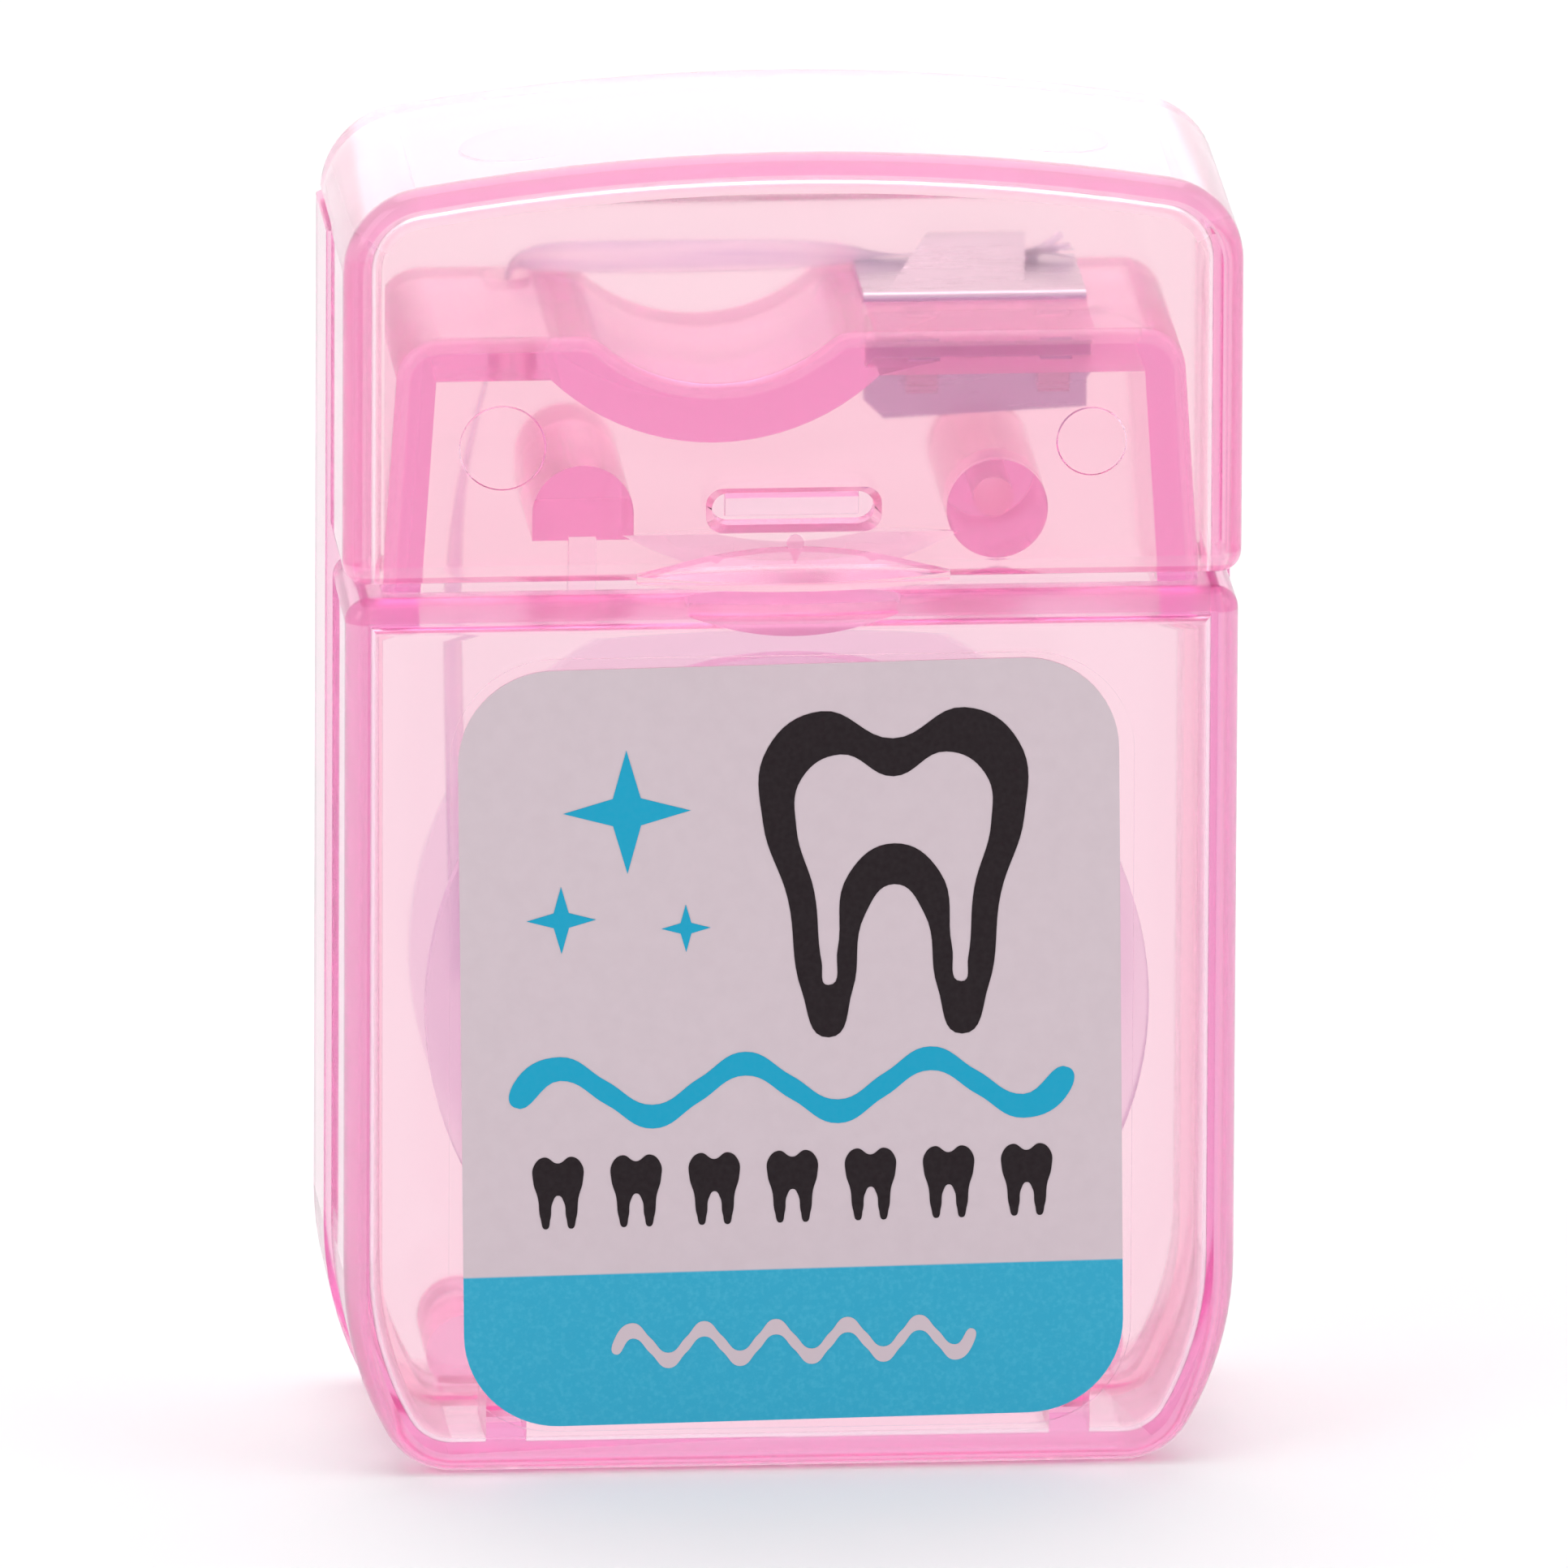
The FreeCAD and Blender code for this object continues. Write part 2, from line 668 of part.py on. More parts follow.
def half_arc(start, corner, end):
    """The arc that touches start-corner and corner-end, which are equally long."""
    middle = (start + end) * 0.5
    rise = (corner - middle).Length
    side = (corner - start).Length
    half_chord = (end - start).Length / 2
    radius = side * half_chord / rise
    sagitta = radius - math.sqrt(radius ** 2 - half_chord ** 2)
    return Part.Arc(start, middle + (corner - middle) * (sagitta / rise), end).toShape(), radius


def helix_place(turn):
    """The place and the direction on the outer layer after a number of turns."""
    angle = 2 * math.pi * turn
    half_span = turn_pitch * turn_count / 2
    place = point(-turns_radius * math.cos(angle), bobbin_y - half_span + turn_pitch * turn,
                  bobbin_height - turns_radius * math.sin(angle))
    along = point(2 * math.pi * turns_radius * math.sin(angle), turn_pitch,
                  -2 * math.pi * turns_radius * math.cos(angle))
    return place, along.normalize()


def floss_outer_turns():
    """The outer layer of floss, one unbroken tube on pairs of arcs, each a quarter turn."""
    quarters = round(turn_count * 4)
    edges, radii = [], []
    start, along = helix_place(0)
    tail = start - along * floss_diameter
    edges.append(Part.LineSegment(tail, start).toShape())
    for quarter in range(quarters):
        first, first_way = helix_place(quarter / 4)
        last, last_way = helix_place((quarter + 1) / 4)
        span, ways = last - first, first_way + last_way
        a = 2 * first_way.dot(last_way) - 2
        b = -2 * span.dot(ways)
        c = span.dot(span)
        reach = (-b - math.sqrt(b * b - 4 * a * c)) / (2 * a)
        near, far = first + first_way * reach, last - last_way * reach
        joint = (near + far) * 0.5
        for ends in ((first, near, joint), (joint, far, last)):
            edge, radius = half_arc(*ends)
            edges.append(edge)
            radii.append(radius)
    end, along = helix_place(turn_count)
    edges.append(Part.LineSegment(end, end + along * floss_diameter).toShape())
    path = Part.Wire(edges)
    first, way = helix_place(0)
    profile = Part.Wire(Part.Circle(tail, way, floss_radius).toShape())
    solid = path.makePipeShell([profile], True, False)
    print("outer turns: smallest radius %.2f, volume %.2f against %.2f by length" % (
        min(radii), solid.Volume, math.pi * floss_radius ** 2 * path.Length))
    report_least_gap(quarters)
    return solid


def report_least_gap(quarters):
    """Measures the outer layer's gap to itself on points that are at least half a turn apart."""
    steps_per_turn = 48
    samples = [helix_place(step / steps_per_turn)[0]
               for step in range(quarters * steps_per_turn // 4 + 1)]
    least = min(samples[i].distanceToPoint(samples[j])
                for i in range(len(samples))
                for j in range(i + steps_per_turn // 2, len(samples)))
    print("outer turns: least gap to itself %.2f mm" % (least - floss_diameter))


def strand_route():
    """The strand's corner points: off the bobbin's left side, up through the exit, to the cutter."""
    left = -(turns_radius + floss_radius + strand_gap + floss_radius)
    run_height = leaf_top + strand_leaf_gap + floss_radius
    rise, way_back = run_height - bobbin_height, exit_y - bobbin_y
    low, middle, high = [bobbin_height + rise * share for share in strand_rise_shares]
    low_y, middle_y = [bobbin_y + way_back * share for share in strand_back_shares]
    return [
        point(left, bobbin_y, bobbin_height),
        point(left - floss_diameter * strand_bulge_share, low_y, low),
        point(left, middle_y, middle),
        point(exit_x, exit_y, high),
        point(exit_x, exit_y, run_height),
        point(clip_right - floss_radius, exit_y, run_height)]


def floss_strand():
    """The free end of the floss, as straight runs joined by tangent arcs."""
    corners = strand_route()
    edges, radii = [], []
    here = corners[0]
    for before, corner, after in zip(corners, corners[1:], corners[2:]):
        reach = strand_run_share * min((corner - before).Length, (after - corner).Length)
        start = corner + (before - corner).normalize() * reach
        end = corner + (after - corner).normalize() * reach
        edges.append(Part.LineSegment(here, start).toShape())
        edge, radius = half_arc(start, corner, end)
        edges.append(edge)
        radii.append(radius)
        here = end
    edges.append(Part.LineSegment(here, corners[-1]).toShape())
    path = Part.Wire(edges)
    way = (corners[1] - corners[0]).normalize()
    profile = Part.Wire(Part.Circle(corners[0], way, floss_radius).toShape())
    solid = path.makePipeShell([profile], True, False)
    print("strand: length %.1f mm, radii %s, volume %.3f against %.3f by length" % (
        path.Length, ["%.2f" % r for r in radii], solid.Volume,
        math.pi * floss_radius ** 2 * path.Length))
    return solid


# Label

def front_label():
    solid = prism(rounded_rectangle(0, label_centre, label_width, label_height,
                                    label_corner_radius, front_y), label_thickness)
    solid.rotate(point(0, front_y, label_centre), point(0, -1, 0), label_turn)
    return solid


nodes = {
    "front_shell": front_shell,
    "rear_shell": rear_shell,
    "flip_lid": flip_lid,
    "lid_hinge_web": lid_hinge_web,
    "cutter_clip": cutter_clip,
    "bobbin": bobbin,
    "floss_winding": floss_winding,
    "floss_outer_turns": floss_outer_turns,
    "floss_strand": floss_strand,
    "front_label": front_label,
}

os.makedirs("parts", exist_ok=True)
whole = FreeCAD.BoundBox()
for name, make in nodes.items():
    shape = make()
    if isinstance(shape, Part.Compound) and len(shape.Solids) == 1:
        shape = shape.Solids[0]
    shape.exportStep("parts/%s.step" % name)
    whole.add(shape.optimalBoundingBox())
    print("%s: %d solid, %.1f mm3, valid %s" % (
        name, len(shape.Solids), shape.Volume, shape.isValid()))
print("whole: x %.2f to %.2f, y %.2f to %.2f, z %.2f to %.2f" % (
    whole.XMin, whole.XMax, whole.YMin, whole.YMax, whole.ZMin, whole.ZMax))
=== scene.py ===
# %% [markdown]
# # A pocket dental floss dispenser
# The object is a clear pink flip-top case about as big as a matchbox. Its solids come from a CAD
# program, with every wall, rib and boss already in its place, so this lesson gives them light,
# colour and the soft goods that a CAD program draws badly: the waxed floss. The first cell loads
# the solids and keeps the size of the box they fill, because the dressed model must stay inside it.

# %% Load the solids
import math
import bpy
import bmesh
from mathutils import Matrix, Vector


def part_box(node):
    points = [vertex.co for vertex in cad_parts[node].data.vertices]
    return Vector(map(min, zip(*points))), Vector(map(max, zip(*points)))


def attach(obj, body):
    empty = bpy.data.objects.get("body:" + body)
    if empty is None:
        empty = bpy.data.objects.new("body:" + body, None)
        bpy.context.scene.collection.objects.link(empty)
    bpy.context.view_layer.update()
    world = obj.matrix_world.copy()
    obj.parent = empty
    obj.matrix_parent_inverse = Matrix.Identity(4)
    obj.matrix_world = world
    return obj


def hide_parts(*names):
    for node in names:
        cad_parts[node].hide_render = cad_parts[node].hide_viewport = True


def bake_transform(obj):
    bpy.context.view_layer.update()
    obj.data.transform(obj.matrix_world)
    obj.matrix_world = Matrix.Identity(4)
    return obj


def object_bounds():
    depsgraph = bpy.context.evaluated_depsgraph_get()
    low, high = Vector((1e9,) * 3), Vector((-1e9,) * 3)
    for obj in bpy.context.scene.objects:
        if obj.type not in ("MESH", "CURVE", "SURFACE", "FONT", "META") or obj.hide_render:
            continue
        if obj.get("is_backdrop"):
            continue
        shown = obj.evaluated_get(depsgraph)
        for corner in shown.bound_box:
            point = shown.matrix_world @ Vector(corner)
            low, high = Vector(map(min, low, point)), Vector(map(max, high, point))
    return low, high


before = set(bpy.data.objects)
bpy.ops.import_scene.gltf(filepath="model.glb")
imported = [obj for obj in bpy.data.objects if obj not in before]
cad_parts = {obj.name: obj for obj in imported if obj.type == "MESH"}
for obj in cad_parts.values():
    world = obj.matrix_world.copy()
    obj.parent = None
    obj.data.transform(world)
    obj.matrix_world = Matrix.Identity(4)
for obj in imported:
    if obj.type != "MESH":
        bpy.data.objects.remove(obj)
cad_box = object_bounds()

mm = 0.001
scene = bpy.context.scene
print("solids:", ", ".join(sorted(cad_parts)))
print("box in mm:", [[round(v / mm, 2) for v in corner] for corner in cad_box])

# %% [markdown]
# ## The camera
# The photograph was taken from a good distance with a long lens, a little above the object and a
# little to its left: upright edges stay parallel and the top shows as a shallow arch. A lens of
# 1100 mm from 1.6 metres away gives that. The camera aims at the point of the front face that is
# in the middle of the picture, so no shift is needed.

# %% Camera
camera_elevation, camera_azimuth, camera_roll = (math.radians(a) for a in (15.3, -4.54, 0.28))
camera_distance = 1.644
aim = Vector((-0.296, -5.75, 24.54)) * mm

camera_data = bpy.data.cameras.new("camera")
camera_data.lens = 1097.7
camera_data.sensor_width = 36
camera_data.clip_start, camera_data.clip_end = 0.05, 20
camera = bpy.data.objects.new("camera", camera_data)
scene.collection.objects.link(camera)
towards = Vector((math.sin(camera_azimuth) * math.cos(camera_elevation),
                  -math.cos(camera_azimuth) * math.cos(camera_elevation),
                  math.sin(camera_elevation)))
camera.location = aim + towards * camera_distance
turn = (-towards).to_track_quat("-Z", "Y")
camera.rotation_mode = "QUATERNION"
camera.rotation_quaternion = turn @ Matrix.Rotation(camera_roll, 3, "Z").to_quaternion()
scene.camera = camera
print("camera is", round(camera.location.length, 2), "m away")

# %% [markdown]
# ## Small helpers for materials
# A material is a little network of nodes. A few helpers keep the later cells short. One starts a
# material and hands back its main shader, one adds a node with its settings, and one gives a noise
# pattern in the object's own coordinates, so that a pattern stays put on its piece. The others
# spread a value over a new range, mix two colours, take the larger of two values, and turn a
# pattern into small hills.

# %% Material helpers
def new_material(name):
    material = bpy.data.materials.new(name)
    material.use_nodes = True
    tree = material.node_tree
    return material, tree, tree.nodes["Principled BSDF"]


def add(tree, kind, **settings):
    node = tree.nodes.new(kind)
    for name, value in settings.items():
        if hasattr(node, name):
            setattr(node, name, value)
        else:
            node.inputs[name.replace("_", " ")].default_value = value
    return node


def noise(tree, scale, stretch=(1, 1, 1), detail=3.0):
    place = add(tree, "ShaderNodeTexCoord")
    spread = add(tree, "ShaderNodeMapping", Scale=stretch)
    pattern = add(tree, "ShaderNodeTexNoise", Scale=scale, Detail=detail)
    tree.links.new(place.outputs["Object"], spread.inputs["Vector"])
    tree.links.new(spread.outputs["Vector"], pattern.inputs["Vector"])
    return pattern.outputs["Fac"]


def remap(tree, source, low, high, start=0.35, end=0.65):
    ramp = add(tree, "ShaderNodeMapRange", From_Min=start, From_Max=end, To_Min=low, To_Max=high)
    tree.links.new(source, ramp.inputs["Value"])
    return ramp.outputs["Result"]


def mixed(tree, factor, first, second):
    """Mixes two colours. Each is three numbers, or the output of another node."""
    mix = add(tree, "ShaderNodeMix", data_type="RGBA")
    tree.links.new(factor, mix.inputs[0])
    for socket, colour in ((mix.inputs[6], first), (mix.inputs[7], second)):
        if isinstance(colour, bpy.types.NodeSocket):
            tree.links.new(colour, socket)
        else:
            socket.default_value = (*colour, 1)
    return mix.outputs[2]


def larger(tree, one, other):
    node = add(tree, "ShaderNodeMath", operation="MAXIMUM")
    tree.links.new(one, node.inputs[0])
    tree.links.new(other, node.inputs[1])
    return node.outputs["Value"]


def bump(tree, shader, height, strength, distance):
    node = add(tree, "ShaderNodeBump", Strength=strength, Distance=distance)
    tree.links.new(height, node.inputs["Height"])
    tree.links.new(node.outputs["Normal"], shader.inputs["Normal"])


# %% [markdown]
# ## Clear pink plastic
# The case is polypropylene tinted in the mass. The tint is in its depth, not on its skin: one thin
# wall is nearly clear, and the deck, the bosses and the edges, where light travels far inside the
# plastic, are a strong pink. That is what a volume does: a little colour is absorbed with every
# millimetre, so each wall gets its own strength by itself. A faint ripple of the mould and a
# slightly uneven gloss keep the skin from looking like glass.
#
# The mould was not polished everywhere. Each face carries two numbers, and the material reads them
# as attributes. `dull` runs from 0, polished, to 7, rough: it blurs what is seen through the face,
# and its square lets a share of the light scatter as haze, up to a fifth. The second number runs
# from 0 to 1 and paints a face a deeper pink: painted shade, where the plastic looks darker in the
# light than the volume alone makes it.

# %% Clear plastic
ior_plastic = 1.49
# The deeper pink that is painted on as shade.
painted_shade_pink = (0.93, 0.50, 0.68)
dull_roughness = 0.06
least_clear, haze_full_at = 0.8, 10


def face_value(tree, name):
    return add(tree, "ShaderNodeAttribute", attribute_name=name).outputs["Fac"]


def clear_plastic(name, skin, depth_colour, depth):
    material, tree, shader = new_material(name)
    # Painted shade: faces marked for it get the deeper pink mixed into their skin.
    tree.links.new(mixed(tree, face_value(tree, "painted_shade"), skin, painted_shade_pink),
                   shader.inputs["Base Color"])
    shader.inputs["IOR"].default_value = ior_plastic
    square = add(tree, "ShaderNodeMath", operation="POWER")
    tree.links.new(face_value(tree, "dull"), square.inputs[0])
    square.inputs[1].default_value = 2
    tree.links.new(remap(tree, square.outputs["Value"], 1.0, least_clear, 0, haze_full_at),
                   shader.inputs["Transmission Weight"])
    roughness = add(tree, "ShaderNodeMath", operation="MULTIPLY_ADD")
    tree.links.new(face_value(tree, "dull"), roughness.inputs[0])
    roughness.inputs[1].default_value = dull_roughness
    tree.links.new(remap(tree, noise(tree, 300, detail=1), 0.03, 0.06), roughness.inputs[2])
    tree.links.new(roughness.outputs["Value"], shader.inputs["Roughness"])
    ripple = noise(tree, 160, (1, 1, 0.5), detail=1)
    bump(tree, shader, ripple, 0.07, 0.05 * mm)
    tint = add(tree, "ShaderNodeVolumeAbsorption", Color=(*depth_colour, 1), Density=depth)
    tree.links.new(tint.outputs["Volume"], tree.nodes["Material Output"].inputs["Volume"])
    return material


pink_front = clear_plastic("clear pink front", (1.0, 0.91, 0.92), (0.90, 0.0, 0.69), 78)
pink_back = clear_plastic("clear pink back and lid", (1.0, 0.875, 0.895), (0.95, 0.0, 0.68), 36)
print("plastics:", pink_front.name, "and", pink_back.name)

# %% [markdown]
# ## Dressing the moulded pieces
# A solid that comes from CAD is a bag of loose triangles, each lit flat. A copy has its corners
# merged and the triangles of each plane dissolved into one face. Then Blender can shade it smooth.
# Two kinds of edge stay crisp: corners of more than 32 degrees, and the line where a broad face
# meets a narrow strip of a rounding. Without the second kind the flats would be shaded as if they
# were bent, and in clear plastic every bent flat shows as a smear.
#
# `touch` is a function that changes the copy a little before it is shaded, and `rule` is one that
# says how dull each face is and how much painted shade it gets.

# %% Merge, smooth and dress
weld_distance = 0.0015 * mm
broad_width = 0.35 * mm


def is_broad(face):
    return face.calc_area() / face.calc_perimeter() > broad_width


def mark_crisp_edges(work, angle):
    for face in work.faces:
        face.smooth = True
    broad = {face: is_broad(face) for face in work.faces}
    for edge in work.edges:
        if len(edge.link_faces) == 2:
            one, other = edge.link_faces
            bent = edge.calc_face_angle(0) > math.radians(angle)
            edge.smooth = not (bent or broad[one] != broad[other])


def mark_faces(work, rule):
    # Each face gets its dullness and its share of painted shade.
    dull = work.faces.layers.float.new("dull")
    painted_shade = work.faces.layers.float.new("painted_shade")
    for face in work.faces:
        face[dull], face[painted_shade] = rule(face.calc_center_median() / mm, face.normal, is_broad(face))


def new_piece(name, mesh, material):
    mesh.materials.clear()
    mesh.materials.append(material)
    piece = bpy.data.objects.new(name, mesh)
    scene.collection.objects.link(piece)
    return piece


def dress(node, body, material, angle=32, rule=None, touch=None):
    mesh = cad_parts[node].data.copy()
    mesh.name = node + "_dressed"
    work = bmesh.new()
    work.from_mesh(mesh)
    before = len(work.verts)
    bmesh.ops.remove_doubles(work, verts=work.verts, dist=weld_distance)
    bmesh.ops.dissolve_limit(work, angle_limit=math.radians(0.05), verts=work.verts,
                             edges=work.edges)
    if touch:
        touch(work)
    mark_crisp_edges(work, angle)
    if rule:
        mark_faces(work, rule)
    work.to_mesh(mesh)
    print(node, "corners:", before, "->", len(work.verts))
    work.free()
    piece = new_piece(node + "_dressed", mesh, material)
    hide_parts(node)
    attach(piece, body)


# %% [markdown]
# ## Which faces are dull and which get painted shade
# The rules know a face by its middle, its direction and whether it is broad, in millimetres. X runs
# to the right, Y to the back and Z up. A spot is a place seen from the front, so it has an X and a
# Z; the spots of the right half are mirrored to the left where both halves have the feature.

# %% Rules for the faces
boss, boss_reach, bore_reach = (7.14, 33.8), 1.95, 0.8
post_home, post_reach = (10.7, 2.5), 1.45
left_mark_home, right_mark = (-9.99, 36.47), (10.3, 36.4)
crown_middle = Vector((0, 0.5, 39))
strip_left, strip_right, strip_back = 2.85, 10.45, -0.02


def near(place, spot, reach):
    return math.hypot(place.x - spot[0], place.z - spot[1]) < reach


def on_side(place, spot):
    return math.copysign(spot[0], place.x), spot[1]


def front_rule(place, normal, broad):
    in_case = abs(place.x) < 14.6 and place.y > -5.0 and 0.9 < place.z < 30.3
    in_neck = abs(place.x) < 12.9 and place.y > -3.9 and 30.3 < place.z < 38.9
    side = in_case and abs(normal.y) < 0.9
    on_boss = (near(place, on_side(place, boss), boss_reach)
               and (place.y > -2.8 or place.y > -3.9 and abs(normal.y) < 0.5))
    boss_end = on_boss and normal.y > 0.9
    in_bore = place.y > -1.5 and near(place, boss, bore_reach)
    on_deck = place.z > 38.4 and place.y > -4.3
    slot = on_deck and 2.6 < place.x < 11.6 and -0.4 < place.y < 0.9
    strip = (place.z > 40.15 and normal.z > 0.99 and place.y < -0.1
             and strip_left < place.x < strip_right)
    ledge = 29.9 < place.z < 31.3 and place.y < -4.4
    dull = (7 if in_bore or boss_end or slot else 3 if on_deck or side else 2 if on_boss
            else 1 if in_case or in_neck else 0 if broad else 2.5)
    # Painted shade: the ledge and the deck's strip in front of the cutter get the full deeper pink,
    # the ends of the bosses part of it.
    return dull, 1.0 if ledge or strip else 0.4 if boss_end else 0.0


def rear_rule(place, normal, broad):
    inside = abs(place.x) < 15.1 and place.y < 6.2 and place.z > 0.6
    side = inside and abs(normal.y) < 0.9
    post = place.y > 0.9 and near(place, on_side(place, post_home), post_reach)
    pin = place.y < 4.95 and near(place, boss, bore_reach)
    dull = 7 if pin else 3 if post or side else 1 if inside else 0 if broad else 2.5
    # Painted shade: the posts get the deeper pink.
    return dull, 1.0 if post else 0.0


def lid_rule(place, normal, broad):
    inside = normal.dot(crown_middle - place) > 0 and place.z > 32
    side = inside and abs(normal.y) < 0.9
    foot = place.z < 32.2 and normal.z < -0.5
    gate = near(place, (0.05, 33.1), 0.4) and place.y < -5.7
    window = (abs(place.x) < 3.1 and 33.4 < place.z < 35.2 and abs(normal.y) < 0.95
              and place.y < -4.7)
    seam = -6.0 < place.y < -5.74 and normal.z > 0.6 and abs(place.x) < 5.4 and place.z < 33.2
    front_round = not broad and place.y < -5.0 and -0.98 < normal.y < -0.3 and place.z > 33
    rim = not broad and place.y > -5.2 and (near(place, left_mark_home, 1.6)
                                            or near(place, right_mark, 1.35))
    dull = (4.3 if inside and place.z > 43.5 else 2.5 if side else 1 if inside
            else 0 if broad else 2)
    # Painted shade: the foot, the gate, the window's walls, the lip's seam and the front rounding
    # get the deeper pink, the rims of the marks half of it.
    return dull, 1.0 if foot or gate or window or seam or front_round else 0.5 if rim else 0.0


# %% [markdown]
# ## Small touches to the shells
# A few details of the photograph are added to the copies, each by a function of a few lines.
# Corners can slide within the plane of their faces without harm, and `bisect_plane` cuts new edges
# into faces without moving anything, so that a narrow strip can get a rule of its own. In the front
# shell that is the strip of the deck in front of the cutter, which looks darker than the rest and
# gets painted shade.

# %% Touches to the shells
deck_top = 40.2
lug_end, lug_longer = 37.95, 0.75
solid_post, post_radius = (11.2, 4.3), 1.4
post_inwards, post_down = 0.5, 1.8


def cut(work, faces, point, across):
    """Cuts new edges into these faces alone, where a plane crosses them."""
    parts = set(faces) | {e for f in faces for e in f.edges} | {v for f in faces for v in f.verts}
    bmesh.ops.bisect_plane(work, geom=list(parts), plane_co=Vector(point) * mm, plane_no=across)


def lower_lugs(work):
    """Makes the two lugs in front of the cutter's leg as long as they are in the photo."""
    ends = [v for v in work.verts
            if abs(v.co.z - lug_end * mm) < 0.01 * mm and -0.75 * mm < v.co.y < 0.01 * mm]
    for v in ends:
        v.co.z -= lug_longer * mm
    print("lug corners lowered:", len(ends))


def mark_deck_strip(work):
    """Cuts out the part of the deck's top that lies in front of the cutter."""
    for point, across in (((strip_left, 0, 0), (1, 0, 0)), ((strip_right, 0, 0), (1, 0, 0)),
                          ((0, strip_back, 0), (0, 1, 0))):
        top = [f for f in work.faces
               if f.normal.z > 0.99 and f.calc_area() > mm * mm
               and all(v.co.z > (deck_top - 0.01) * mm and 2 * mm < v.co.x < 12.2 * mm
                       for v in f.verts)]
        cut(work, top, point, across)
        print("deck top faces:", len(top))


def dress_front(work):
    lower_lugs(work)
    mark_deck_strip(work)


def move_posts(work):
    """Slides the two lower posts down and inwards, to where the photo has them."""
    moved = [v for v in work.verts if v.co.y > 0.9 * mm
             and near(v.co / mm, on_side(v.co, solid_post), post_radius + 0.03)]
    for v in moved:
        v.co.x -= math.copysign(post_inwards * mm, v.co.x)
        v.co.z -= post_down * mm
    print("post corners moved:", len(moved))


# %% [markdown]
# ## Small touches to the lid
# The latch window gets a sloped rim, which catches the light as a second line inside the first,
# and its walls get painted shade. The thumb lip gets a narrow strip where it leaves the wall, and
# the strip gets painted shade. The two round marks are left by the mould behind the front wall.
# Their edges are bevelled by a hair, because a perfectly sharp edge shows nothing, and a real one
# shows as a fine line; the bevel gets a little painted shade too.

# %% Touches to the lid
wall_front, wall_back = -5.75, -4.75
window_middle, window_slope, window_slope_back = 34.29, 0.22, -5.5
lip_seam = -5.93
solid_left_mark, left_mark_shrink = (-9.3, 35.8), 0.92
mark_rims = ((left_mark_home, 1.454), (right_mark, 1.17))
rim_width = 0.05


def at_window(v):
    x, y, z = v.co / mm
    return abs(x) < 3.06 and 33.48 < z < 35.1 and wall_front - 0.01 < y < wall_back + 0.01


def break_window_edge(work):
    """Cuts the latch window's wall in two rings, and slopes the front ring."""
    walls = [e for e in work.edges if all(at_window(v) for v in e.verts)
             and abs(e.verts[0].co.y - e.verts[1].co.y) > 0.9 * mm]
    bmesh.ops.subdivide_edges(work, edges=walls, cuts=1, use_grid_fill=True)
    moved = [v for v in work.verts if at_window(v) and v.co.y > (wall_front + 0.01) * mm]
    for v in moved:
        v.co.x -= math.copysign(window_slope * mm, v.co.x)
        v.co.z -= math.copysign(window_slope * mm, v.co.z - window_middle * mm)
        if v.co.y < -5.0 * mm:
            v.co.y = window_slope_back * mm
    print("window wall edges:", len(walls), "moved corners:", len(moved))


def mark_lip_seam(work):
    """Cuts a narrow strip along the line where the thumb lip leaves the wall."""
    slope = [f for f in work.faces
             if f.normal.z > 0.6 and f.calc_center_median().y < wall_front * mm
             and f.calc_center_median().z < 33.2 * mm]
    cut(work, slope, (0, lip_seam, 0), (0, 1, 0))
    print("lip slope faces:", len(slope))


def move_left_mark(work):
    """Slides the left mould mark to its place in the photo, and makes it a little smaller."""
    for v in work.verts:
        if near(v.co / mm, solid_left_mark, 1.62) and -4.85 * mm < v.co.y < -4.74 * mm:
            right, up = v.co.x / mm - solid_left_mark[0], v.co.z / mm - solid_left_mark[1]
            v.co.x = (left_mark_home[0] + left_mark_shrink * right) * mm
            v.co.z = (left_mark_home[1] + left_mark_shrink * up) * mm


def open_rims(work):
    """Bevels the edge of the two round mould marks behind the lid's front wall."""
    for (x, z), radius in mark_rims:
        rim = [edge for edge in work.edges
               if all(abs(math.hypot(v.co.x / mm - x, v.co.z / mm - z) - radius) < 0.03
                      and abs(v.co.y / mm - wall_back) < 0.01 for v in edge.verts)]
        bmesh.ops.bevel(work, geom=rim, offset=rim_width * mm, segments=1, profile=0.5,
                        affect="EDGES", material=-1)
        print("mark at", (x, z), "rim edges:", len(rim))


def dress_lid(work):
    break_window_edge(work)
    mark_lip_seam(work)
    move_left_mark(work)
    open_rims(work)


# %% Dress the shells and the lid
dress("front_shell", "case", pink_front, rule=front_rule, touch=dress_front)
dress("rear_shell", "case", pink_back, rule=rear_rule, touch=move_posts)
dress("flip_lid", "lid", pink_back, rule=lid_rule, touch=dress_lid)

# %% [markdown]
# ## The living hinge
# The lid and the rear shell are one moulding, joined by a strip that is thin enough to bend. It
# is a hair smaller than its solid, since two faces of clear plastic in one place render black.

# %% Living hinge
hinge_air = 0.02 * mm
hinge_low, hinge_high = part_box("lid_hinge_web")
hinge_size = hinge_high - hinge_low - Vector((2 * hinge_air, 0, 2 * hinge_air))
work = bmesh.new()
bmesh.ops.create_cube(work, size=1.0)
bmesh.ops.scale(work, vec=hinge_size, verts=work.verts)
bmesh.ops.translate(work, vec=(hinge_low + hinge_high) / 2, verts=work.verts)
upright = [e for e in work.edges
           if abs((e.verts[0].co - e.verts[1].co).normalized().z) > 0.9]
bmesh.ops.subdivide_edges(work, edges=upright, cuts=11, use_grid_fill=True)
hinge_mesh = bpy.data.meshes.new("living_hinge")
work.to_mesh(hinge_mesh)
work.free()
hinge = new_piece("living_hinge", hinge_mesh, pink_back)
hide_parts("lid_hinge_web")
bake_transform(hinge)
print("hinge faces:", len(hinge_mesh.polygons))

